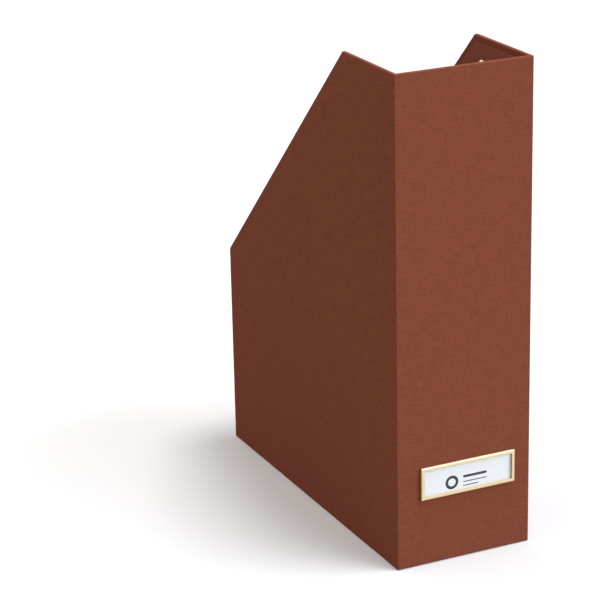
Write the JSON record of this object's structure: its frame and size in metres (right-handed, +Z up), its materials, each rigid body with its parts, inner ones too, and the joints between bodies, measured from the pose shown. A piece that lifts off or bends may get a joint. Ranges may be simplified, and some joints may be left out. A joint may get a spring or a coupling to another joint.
{
  "type": "magazine file holder",
  "caption": "Open-topped cloth-covered board file with a tall front wall, sloping sides, a low back wall and a metal label frame holding a slide-out card.",
  "frame": {"origin": "centre of the flat underside", "axes": "+Z up, -Y out of the tall front wall with the label, +X to the right as the front is faced"},
  "size_m": [0.0961, 0.252, 0.32],
  "materials": {
    "board": "matte",
    "cover_cloth": "matte",
    "lining_paper": "matte",
    "stay_tape": "matte",
    "frame_brass": "polished",
    "card_paper": "matte"
  },
  "bodies": {
    "holder": {"front_board": "board", "back_board": "board", "left_board": "board", "right_board": "board", "base_board": "board", "closing_flap": "board", "corner_stays": "stay_tape", "outer_cover": "cover_cloth", "base_infill": "board", "base_cover": "lining_paper", "front_lining": "lining_paper", "back_lining": "lining_paper", "left_lining": "lining_paper", "right_lining": "lining_paper", "base_lining": "lining_paper", "label_frame": "frame_brass", "rivet_posts": "frame_brass", "rivet_caps": "frame_brass"},
    "card": {"label_card": "card_paper"}
  },
  "joints": [
    {"name": "card_slide", "type": "slide", "parent": "holder", "child": "card", "axis": [0, 0, 1], "range_m": [0, 0.024]}
  ]
}
